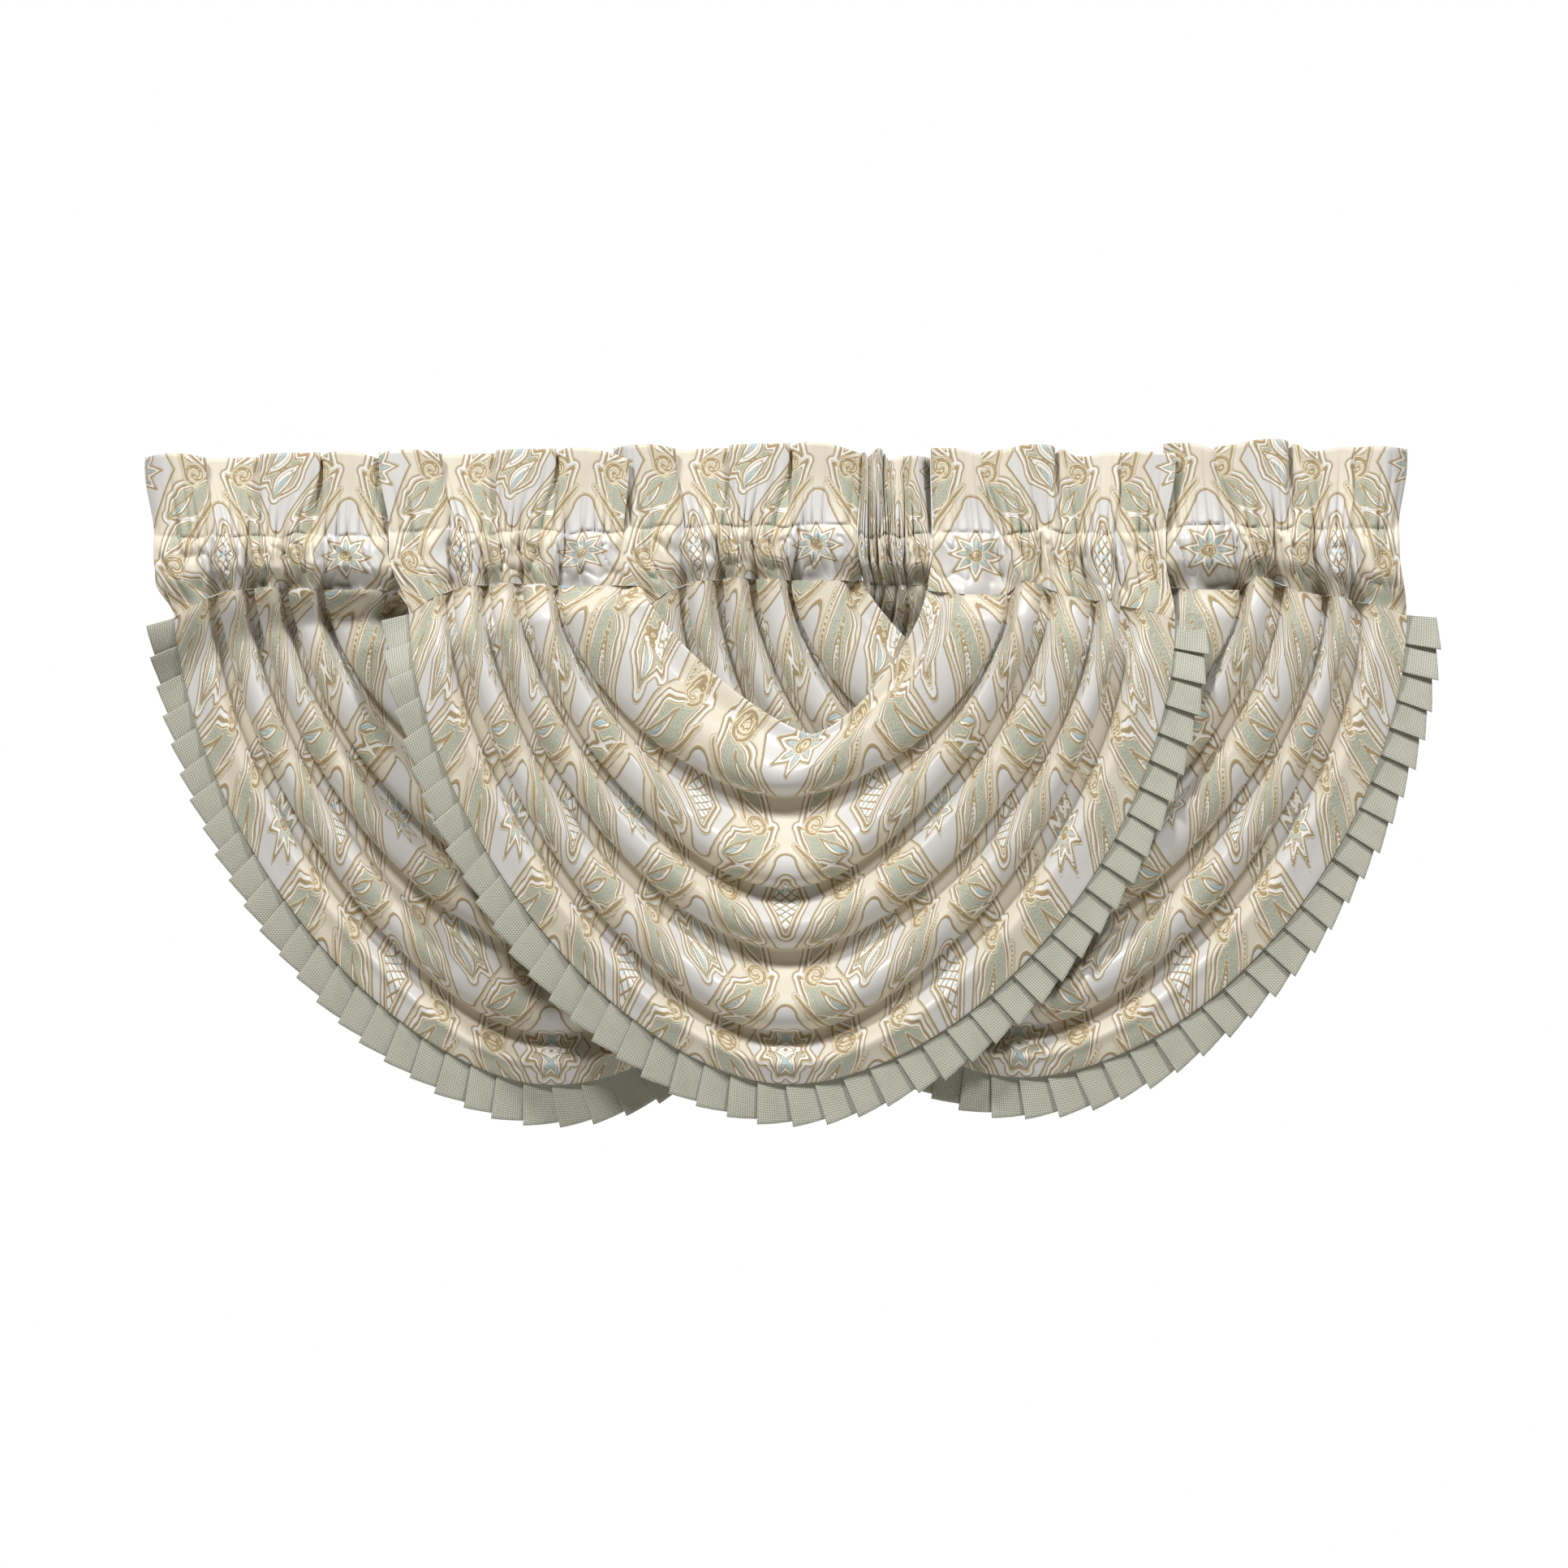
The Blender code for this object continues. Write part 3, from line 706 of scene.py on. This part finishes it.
def rib(points, width):
    """A cord that thins towards both ends."""
    return motif("cord", points, [width * 0.55, width, width * 0.85, width, width * 0.55])


def scroll(centre, radius, start):
    """A cord that curls inwards from a start in degrees, and thickens on its way."""
    points = []
    for k in range(SCROLL_POINTS):
        t = k / (SCROLL_POINTS - 1)
        angle = math.radians(start) + 2.0 * math.pi * SCROLL_TURNS * t
        r = radius * (1.0 - SCROLL_SHRINK * t)
        points.append((centre[0] + r * math.cos(angle), centre[1] + r * math.sin(angle)))
    return motif("cord", points, [1.6, 2.2, 2.6, 3.2])


def medallion(u, v, kind):
    """One unit of the repeat: a satin oval with a flower, a net or two drops in it, and leaves round it."""
    made = [motif("silver", [(u, v - 66), (u, v), (u, v + 66)], [14, 52, 14])]
    if kind == 0:
        for k in range(8):
            made.append(leaf((u, v), 45 * k, 36, "white", 0.0, 0.22))
            made.append(leaf((u, v), 45 * k, 26, "blue", 0.0, 0.08))
        made.append(scroll((u, v), 8, 0))
    elif kind == 1:
        made.append(motif("net", [(u, v - 44), (u, v), (u, v + 44)], [6, 25, 6]))
    else:
        made += paisley((u - 10, v + 36), -78, 62, 0.5) + paisley((u + 10, v - 36), 102, 62, 0.5)
    for side in (-1, 1):
        lean = 0 if side > 0 else 180
        made += plume((u + 34 * side, v + 62), lean - 24 * side, 88, -0.3 * side)
        made += loop((u + 46 * side, v - 56), lean + 30 * side, 70, 0.3 * side)
        made.append(scroll((u + 80 * side, v + 4), 15, 90))
        made.append(rib([(u + 12 * side, v - 92), (u + 54 * side, v - 40), (u + 66 * side, v)], 2.2))
    return made


def repeated(columns, rows, first_u, first_v):
    """An ogee repeat: medallions in columns, every second column half a drop lower."""
    made = []
    for column in range(columns):
        for row in range(rows):
            drop = 0.5 * (column % 2)
            u = first_u + 0.5 * REPEAT * column
            made += medallion(u, first_v + REPEAT * (row + drop), (column + row) % 3)
    return made


def body_motifs():
    """The swag's design for one half; the other half mirrors it. u from the middle, v down."""
    return repeated(8, 3, 0.0, 10.0)


def heading_motifs():
    """The heading's design, u from its outer end, v down from its top edge."""
    return repeated(5, 2, -10.0, 20.0)


def pattern_fields(flat, motifs, mirrored):
    """Each layer's signed distance at each point of the flat cloth."""
    u = np.abs(flat[..., 0]) if mirrored else flat[..., 0]
    v = flat[..., 1] if mirrored else np.abs(flat[..., 1])
    fields = {name: np.full(u.shape, REACH) for name in LAYERS}
    for shape in motifs:
        add_motif(fields, shape, u, v)
        if mirrored:
            flipped = shape._replace(points=[(-p[0], p[1]) for p in shape.points])
            if min(p[0] for p in shape.points) < max(shape.width) + REACH:
                add_motif(fields, flipped, u, v)
    return {name: np.clip(field, -REACH, REACH) for name, field in fields.items()}


# Materials

class Nodes:
    """Short ways to write a material's nodes."""

    def __init__(self, name):
        self.material = bpy.data.materials.new(name)
        self.material.use_nodes = True
        self.tree = self.material.node_tree
        self.shader = self.tree.nodes["Principled BSDF"]

    def put(self, socket, value):
        if isinstance(value, bpy.types.NodeSocket):
            self.tree.links.new(value, socket)
        else:
            socket.default_value = value

    def attribute(self, name, output="Fac"):
        node = self.tree.nodes.new("ShaderNodeAttribute")
        node.attribute_name = name
        return node.outputs[output]

    def maths(self, kind, a, b=0.0, c=0.0):
        node = self.tree.nodes.new("ShaderNodeMath")
        node.operation = kind
        for socket, value in zip(node.inputs, (a, b, c)):
            self.put(socket, value)
        return node.outputs[0]

    def step(self, value, low, high):
        """0 below low, 1 above high, smooth between; low may be above high."""
        node = self.tree.nodes.new("ShaderNodeMapRange")
        node.interpolation_type = "SMOOTHSTEP"
        self.put(node.inputs["Value"], value)
        flip = low > high
        node.inputs["From Min"].default_value = high if flip else low
        node.inputs["From Max"].default_value = low if flip else high
        node.inputs["To Min"].default_value = 1.0 if flip else 0.0
        node.inputs["To Max"].default_value = 0.0 if flip else 1.0
        return node.outputs[0]

    def band(self, value, low, high, soft=0.35):
        """1 between low and high."""
        return self.maths("MULTIPLY", self.step(value, low - soft, low + soft),
                          self.step(value, high + soft, high - soft))

    def blend(self, share, a, b):
        node = self.tree.nodes.new("ShaderNodeMix")
        node.data_type = "RGBA"
        self.put(node.inputs[0], share)
        self.put(node.inputs[6], a)
        self.put(node.inputs[7], b)
        return node.outputs[2]

    def noise(self, vector, scale, detail=2.0, rough=0.5):
        node = self.tree.nodes.new("ShaderNodeTexNoise")
        self.put(node.inputs["Vector"], vector)
        node.inputs["Scale"].default_value = scale
        node.inputs["Detail"].default_value = detail
        node.inputs["Roughness"].default_value = rough
        return node.outputs["Fac"]

    def bump(self, height, distance, strength):
        node = self.tree.nodes.new("ShaderNodeBump")
        node.inputs["Strength"].default_value = strength
        node.inputs["Distance"].default_value = distance
        self.put(node.inputs["Height"], height)
        return node.outputs[0]


def rgb(red, green, blue):
    """A colour given as the eye sees it, 0 to 255, in the linear values that shaders take."""
    made = []
    for value in (red, green, blue):
        value /= 255.0
        made.append(value / 12.92 if value <= 0.04045 else ((value + 0.055) / 1.055) ** 2.4)
    return (*made, 1.0)


CREAM = rgb(235, 230, 218)
CREAM_DARK = rgb(212, 201, 175)
SILVER = rgb(222, 221, 220)
WHITE = rgb(240, 239, 235)
TAUPE = rgb(192, 172, 134)
TAUPE_DARK = rgb(150, 126, 90)
PIPING = rgb(230, 219, 190)
SAGE = rgb(202, 206, 189)
SPECK = rgb(142, 147, 124)
BLUE = rgb(186, 216, 226)
BLUE_DARK = rgb(150, 184, 196)
TRIM = rgb(186, 188, 174)
TRIM_DOT = rgb(236, 237, 227)
TRIM_DARK = rgb(140, 142, 124)


# Sizes of the weaves, in millimetres
HERRINGBONE = 5.6
TWILL = 1.7
SATIN_THREAD = 0.9
NET_CELL = 15.0
HATCH = 3.4
TRIM_CHECK = 3.2


def cloth_place(n):
    """The flat cloth's own coordinates, in millimetres, and their two parts."""
    place = n.attribute("cloth", "Vector")
    split = n.tree.nodes.new("ShaderNodeSeparateXYZ")
    n.put(split.inputs[0], place)
    return place, split.outputs[0], split.outputs[1]


def zigzag(n, value, period):
    """A triangle wave of height one."""
    share = n.maths("FRACT", n.maths("DIVIDE", value, period))
    return n.maths("ABSOLUTE", n.maths("MULTIPLY_ADD", share, 2.0, -1.0))


def jacquard_material():
    n = Nodes("jacquard")
    place, u, v = cloth_place(n)
    field = {name: n.attribute("d_" + name) for name in LAYERS}
    wobble = n.maths("MULTIPLY_ADD", n.noise(place, 0.55, 3.0, 0.6), 1.2, -0.6)
    field = {name: n.maths("ADD", value, wobble) for name, value in field.items()}
    grain = n.noise(place, 1.1, 2.0, 0.7)
    blotch = n.noise(place, 0.02, 2.0, 0.5)

    # grounds: cream herringbone twill and smooth silver satin
    chevron = n.maths("ADD", v, n.maths("MULTIPLY", zigzag(n, u, HERRINGBONE), 0.5 * HERRINGBONE))
    twill = zigzag(n, chevron, TWILL)
    cream = n.blend(n.maths("MULTIPLY", twill, 0.70), CREAM, CREAM_DARK)
    cream = n.blend(n.maths("MULTIPLY", n.step(blotch, 0.35, 0.75), 0.22), cream, CREAM_DARK)
    thread = zigzag(n, u, SATIN_THREAD)
    satin = n.blend(n.maths("MULTIPLY", thread, 0.10), SILVER, rgb(190, 188, 184))
    colour = n.blend(n.step(field["silver"], 0.4, -0.4), cream, satin)
    satin_share = n.step(field["silver"], 0.4, -0.4)
    height = n.maths("MULTIPLY", twill, n.maths("SUBTRACT", 0.10, n.maths("MULTIPLY", satin_share, 0.10)))

    fuzz = n.blend(n.step(grain, 0.35, 0.65), TAUPE_DARK, TAUPE)
    fuzz = n.blend(n.step(grain, 0.60, 0.85), fuzz, PIPING)
    raised = n.maths("MULTIPLY_ADD", grain, 0.5, 0.45)

    def lay(share, new, high):
        nonlocal colour, height
        colour = n.blend(share, colour, new)
        height = n.maths("ADD", n.maths("MULTIPLY", height, n.maths("SUBTRACT", 1.0, share)),
                         n.maths("MULTIPLY", share, high))

    def ringed(value, stack):
        """Bands along an edge: each row is a band's near and far distance and its thread."""
        for near, far, thread in stack:
            if thread == "pipe":
                lay(n.band(value, near, far), PIPING, 0.85)
            elif thread == "pale":
                lay(n.band(value, near, far), n.blend(n.step(grain, 0.3, 0.8), WHITE, SILVER), 0.25)
            else:
                lay(n.band(value, near, far), fuzz, raised)

    ringed(field["silver"], ((-1.0, 1.6, "fuzz"), (1.6, 2.6, "pipe")))

    # nets: white cells between beige cords
    net = field["net"]
    ringed(net, ((2.4, 5.6, "pale"), (5.6, 7.6, "fuzz"), (7.6, 8.5, "pipe")))
    lay(n.step(net, 0.3, -0.3), WHITE, 0.35)
    across = zigzag(n, n.maths("ADD", u, v), NET_CELL)
    along = zigzag(n, n.maths("SUBTRACT", u, v), NET_CELL)
    cells = n.maths("MAXIMUM", n.step(across, 0.72, 0.84), n.step(along, 0.72, 0.84))
    lay(n.maths("MULTIPLY", cells, n.step(net, -4.6, -5.6)), fuzz, raised)
    strokes = n.step(n.noise(place, 0.16, 1.0, 0.4), 0.60, 0.66)
    lay(n.maths("MULTIPLY", strokes, n.step(net, -6.0, -7.0)), BLUE, 0.5)
    ringed(net, ((-1.8, 1.6, "fuzz"), (1.6, 2.5, "pipe"), (-2.8, -1.8, "pipe"), (-5.2, -3.9, "fuzz")))

    # stippled sage leaves with contour bands
    sage = field["sage"]
    ringed(sage, ((2.6, 6.4, "pale"), (6.4, 8.2, "fuzz"), (8.2, 9.0, "pipe")))
    lay(n.step(sage, 0.3, -0.3), WHITE, 0.4)
    speck = n.step(n.noise(place, 0.75, 2.0, 0.75), 0.50, 0.58)
    stipple = n.blend(n.maths("MULTIPLY", speck, 0.6), SAGE, SPECK)
    stipple = n.blend(n.step(grain, 0.62, 0.74), stipple, PIPING)
    lay(n.step(sage, -4.6, -5.2), stipple, n.maths("MULTIPLY_ADD", speck, 0.35, 0.3))
    ringed(sage, ((-1.4, 1.8, "fuzz"), (1.8, 2.7, "pipe"), (-4.9, -3.6, "fuzz"), (-5.8, -4.9, "pipe")))

    # white hearts with a fine cord, and ice-blue strokes
    white = field["white"]
    lay(n.step(white, 0.3, -0.3), WHITE, 0.55)
    ringed(white, ((-1.0, 1.2, "fuzz"), (1.2, 2.0, "pipe"), (-4.4, -3.6, "fuzz")))
    blue = field["blue"]
    hatch = zigzag(n, n.maths("ADD", n.maths("MULTIPLY", u, 0.7), v), HATCH)
    lay(n.step(blue, 0.4, -0.4), n.blend(n.step(hatch, 0.3, 0.7), BLUE, BLUE_DARK), 0.5)
    lay(n.band(blue, 0.2, 1.2), n.blend(0.5, TAUPE, SPECK), 0.5)
    cord = field["cord"]
    ringed(cord, ((0.0, 1.4, "pipe"), (-2.8, 0.0, "fuzz"), (-4.5, -1.7, "pipe"), (2.6, 3.4, "pipe")))

    n.put(n.shader.inputs["Base Color"], colour)
    rough = n.maths("SUBTRACT", 0.72, n.maths("MULTIPLY", n.step(height, 0.12, 0.0), 0.40))
    n.put(n.shader.inputs["Roughness"], rough)
    n.shader.inputs["Specular IOR Level"].default_value = 0.55
    n.shader.inputs["Sheen Weight"].default_value = 0.18
    n.shader.inputs["Sheen Roughness"].default_value = 0.45
    n.put(n.shader.inputs["Normal"], n.bump(height, 0.0011, 0.9))
    return n.material


def trim_material():
    n = Nodes("sage_trim")
    place, u, v = cloth_place(n)
    across = zigzag(n, u, TRIM_CHECK)
    along = zigzag(n, v, TRIM_CHECK)
    cell = n.maths("MULTIPLY", n.step(across, 0.25, 0.75), n.step(along, 0.25, 0.75))
    other = n.maths("MULTIPLY", n.step(across, 0.75, 0.25), n.step(along, 0.75, 0.25))
    grain = n.noise(place, 0.9, 3.0, 0.7)
    blotch = n.noise(place, 0.03, 2.0, 0.5)
    colour = n.blend(n.maths("MULTIPLY", cell, 0.85), TRIM, TRIM_DOT)
    colour = n.blend(n.maths("MULTIPLY", n.maths("MULTIPLY", other, grain), 0.9), colour, TRIM_DARK)
    colour = n.blend(n.maths("MULTIPLY", n.step(blotch, 0.4, 0.8), 0.2), colour, TRIM_DARK)
    n.put(n.shader.inputs["Base Color"], colour)
    n.shader.inputs["Roughness"].default_value = 0.88
    n.shader.inputs["Specular IOR Level"].default_value = 0.3
    n.shader.inputs["Sheen Weight"].default_value = 0.25
    threads = n.maths("MAXIMUM", cell, n.maths("MULTIPLY", other, 0.6))
    height = n.maths("ADD", threads, n.maths("MULTIPLY", grain, 0.4))
    n.put(n.shader.inputs["Normal"], n.bump(height, 0.0006, 0.8))
    return n.material


# Pieces


def sheet_object(name, grid, flat, fields, material, valance):
    """A mesh over a grid of points, with its flat cloth's place and pattern on each point."""
    rows, columns = grid.shape[:2]
    points = (grid + (valance.middle_x, 0.0, valance.lift - ROD_DROP)).reshape(-1, 3) * MM
    index = np.arange(rows * columns).reshape(rows, columns)
    quads = np.stack([index[:-1, :-1], index[1:, :-1], index[1:, 1:], index[:-1, 1:]], axis=2).reshape(-1, 4)
    mesh = bpy.data.meshes.new(name)
    mesh.from_pydata(points.tolist(), [], quads.tolist())
    mesh.polygons.foreach_set("use_smooth", [True] * len(quads))
    place = mesh.attributes.new("cloth", "FLOAT_VECTOR", "POINT")
    places = np.dstack([flat, np.zeros((rows, columns, 1))])
    place.data.foreach_set("vector", places.astype(np.float32).ravel())
    for key, values in fields.items():
        layer = mesh.attributes.new("d_" + key, "FLOAT", "POINT")
        layer.data.foreach_set("value", values.astype(np.float32).ravel())
    mesh.materials.append(material)
    item = bpy.data.objects.new(name, mesh)
    bpy.context.scene.collection.objects.link(item)
    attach(item, "root")
    return item


def puffed(grid, fields):
    """Raises the outlined shapes a little, as the weave's loose threads do."""
    inside = np.minimum(np.minimum(fields["sage"], fields["net"]), fields["white"])
    rise = 0.9 * smooth(np.clip(-inside, 0.0, 5.0) / 5.0)
    rise = rise + 0.5 * smooth((1.5 - np.abs(fields["cord"])) / 1.5)
    return grid + normals_of(grid) * rise[..., None]


def on_design(flat, line_rows):
    """The cloth's places on the design, which keeps to the fold lines."""
    rows = np.concatenate([[line_rows[0] - 100.0], line_rows, [line_rows[-1] + 100.0]])
    design = (DESIGN_ROWS[0] - 100.0, *DESIGN_ROWS, DESIGN_ROWS[-1] + 100.0)
    placed = flat.copy()
    placed[..., 1] = np.interp(flat[..., 1], rows, design)
    return placed


def build_swag(valance, material, motifs, seed):
    grid, flat = swag_sheet(valance, seed)
    line_rows = flat[np.cumsum((0,) + ROWS_BETWEEN), STATIONS // 2, 1]
    fields = pattern_fields(on_design(flat, line_rows), motifs, True)
    grid = puffed(grid, fields)
    grid, flat = with_turned_edges(grid, flat)
    fields = pattern_fields(on_design(flat, line_rows), motifs, True)
    name = valance.name + "_swag"
    item = sheet_object(name + "_cloth", grid, flat, fields, material, valance)
    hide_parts(name)


def build_heading(valance, side, material, motifs, seed):
    grid, flat = heading_sheet(valance, side, seed)
    fields = pattern_fields(flat, motifs, False)
    name = valance.name + "_heading_" + side
    item = sheet_object(name + "_cloth", grid, flat, fields, material, valance)
    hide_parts(name)


def build_trim(valance, material, seed):
    grid, flat = trim_sheet(valance, seed)
    name = valance.name + "_trim"
    item = sheet_object(name + "_cloth", grid, flat, {}, material, valance)
    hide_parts(name)


# Floor, light and camera

PHOTO_PIXELS = 1932
MM_PER_PIXEL = 1.064
PHOTO_MIDDLE_X = 968      # the centre valance's middle, and the rod, in the photograph
PHOTO_ROD_Y = 688
CAMERA_AWAY = 9.0
AMBIENT = 0.095
FLOOR_BELOW = 1.3         # a window's height under the trim, outside the view
FLOOR_SIZE = 7.0
FILL_COLOUR = (1.0, 0.84, 0.54, 1.0)
LIGHTS_AIM = (0.0, 0.0, -0.45)
SENSOR = 36.0


def build_stage():
    low = CAD_BOX[0][2] - FLOOR_BELOW
    bpy.ops.mesh.primitive_plane_add(size=FLOOR_SIZE, location=(0.0, 0.0, low))
    floor = bpy.context.object
    floor.name = "floor"
    made = Nodes("pale_floor")
    made.shader.inputs["Base Color"].default_value = (0.86, 0.86, 0.86, 1.0)
    made.shader.inputs["Roughness"].default_value = 0.9
    floor.data.materials.append(made.material)

    world = bpy.data.worlds.new("studio")
    bpy.context.scene.world = world
    world.use_nodes = True
    tree = world.node_tree
    ground = tree.nodes["Background"]
    ground.inputs["Color"].default_value = FILL_COLOUR
    ground.inputs["Strength"].default_value = AMBIENT
    # the surroundings themselves look white, and light the cloth less than that
    seen = tree.nodes.new("ShaderNodeBackground")
    seen.inputs["Color"].default_value = (1.0, 1.0, 1.0, 1.0)
    path = tree.nodes.new("ShaderNodeLightPath")
    either = tree.nodes.new("ShaderNodeMixShader")
    tree.links.new(path.outputs["Is Camera Ray"], either.inputs[0])
    tree.links.new(ground.outputs[0], either.inputs[1])
    tree.links.new(seen.outputs[0], either.inputs[2])
    tree.links.new(either.outputs[0], tree.nodes["World Output"].inputs["Surface"])

    def area(name, at, size, power, colour):
        light = bpy.data.lights.new(name, "AREA")
        light.shape = "RECTANGLE"
        light.size, light.size_y = size
        light.energy = power
        light.color = colour
        item = bpy.data.objects.new(name, light)
        item.location = at
        aim = Vector(LIGHTS_AIM) - Vector(at)
        item.rotation_euler = aim.to_track_quat("-Z", "Y").to_euler()
        bpy.context.scene.collection.objects.link(item)

    area("key", (-1.75, -2.7, 2.8), (0.7, 0.7), 148.0, (1.0, 0.995, 0.98))
    area("second", (1.85, -2.75, 2.8), (0.7, 0.7), 122.0, (1.0, 1.0, 1.0))


def build_camera():
    """Straight on, far away, framed as the photograph is."""
    scene = bpy.context.scene
    camera = bpy.data.objects.new("camera", bpy.data.cameras.new("camera"))
    scene.collection.objects.link(camera)
    across = PHOTO_PIXELS * MM_PER_PIXEL * MM
    middle = PHOTO_PIXELS / 2.0
    x = (middle - PHOTO_MIDDLE_X) * MM_PER_PIXEL * MM
    z = (PHOTO_ROD_Y - middle) * MM_PER_PIXEL * MM - ROD_DROP * MM
    camera.location = (x, -CAMERA_AWAY, z)
    camera.rotation_euler = (math.pi / 2.0, 0.0, 0.0)
    camera.data.sensor_fit = "HORIZONTAL"
    camera.data.sensor_width = SENSOR
    camera.data.lens = SENSOR * CAMERA_AWAY / across
    camera.data.clip_end = 100.0
    scene.camera = camera


def build_all():
    jacquard = jacquard_material()
    sage = trim_material()
    swag_design = body_motifs()
    heading_design = heading_motifs()
    for number, valance in enumerate(VALANCES):
        seed = SEED + 40 * number
        build_heading(valance, "left", jacquard, heading_design, seed + 10)
        build_heading(valance, "right", jacquard, heading_design, seed + 20)
        build_swag(valance, jacquard, swag_design, seed)
        build_trim(valance, sage, seed + 30)


build_camera()
build_all()
build_stage()
scene = bpy.context.scene
scene.view_settings.view_transform = "Standard"
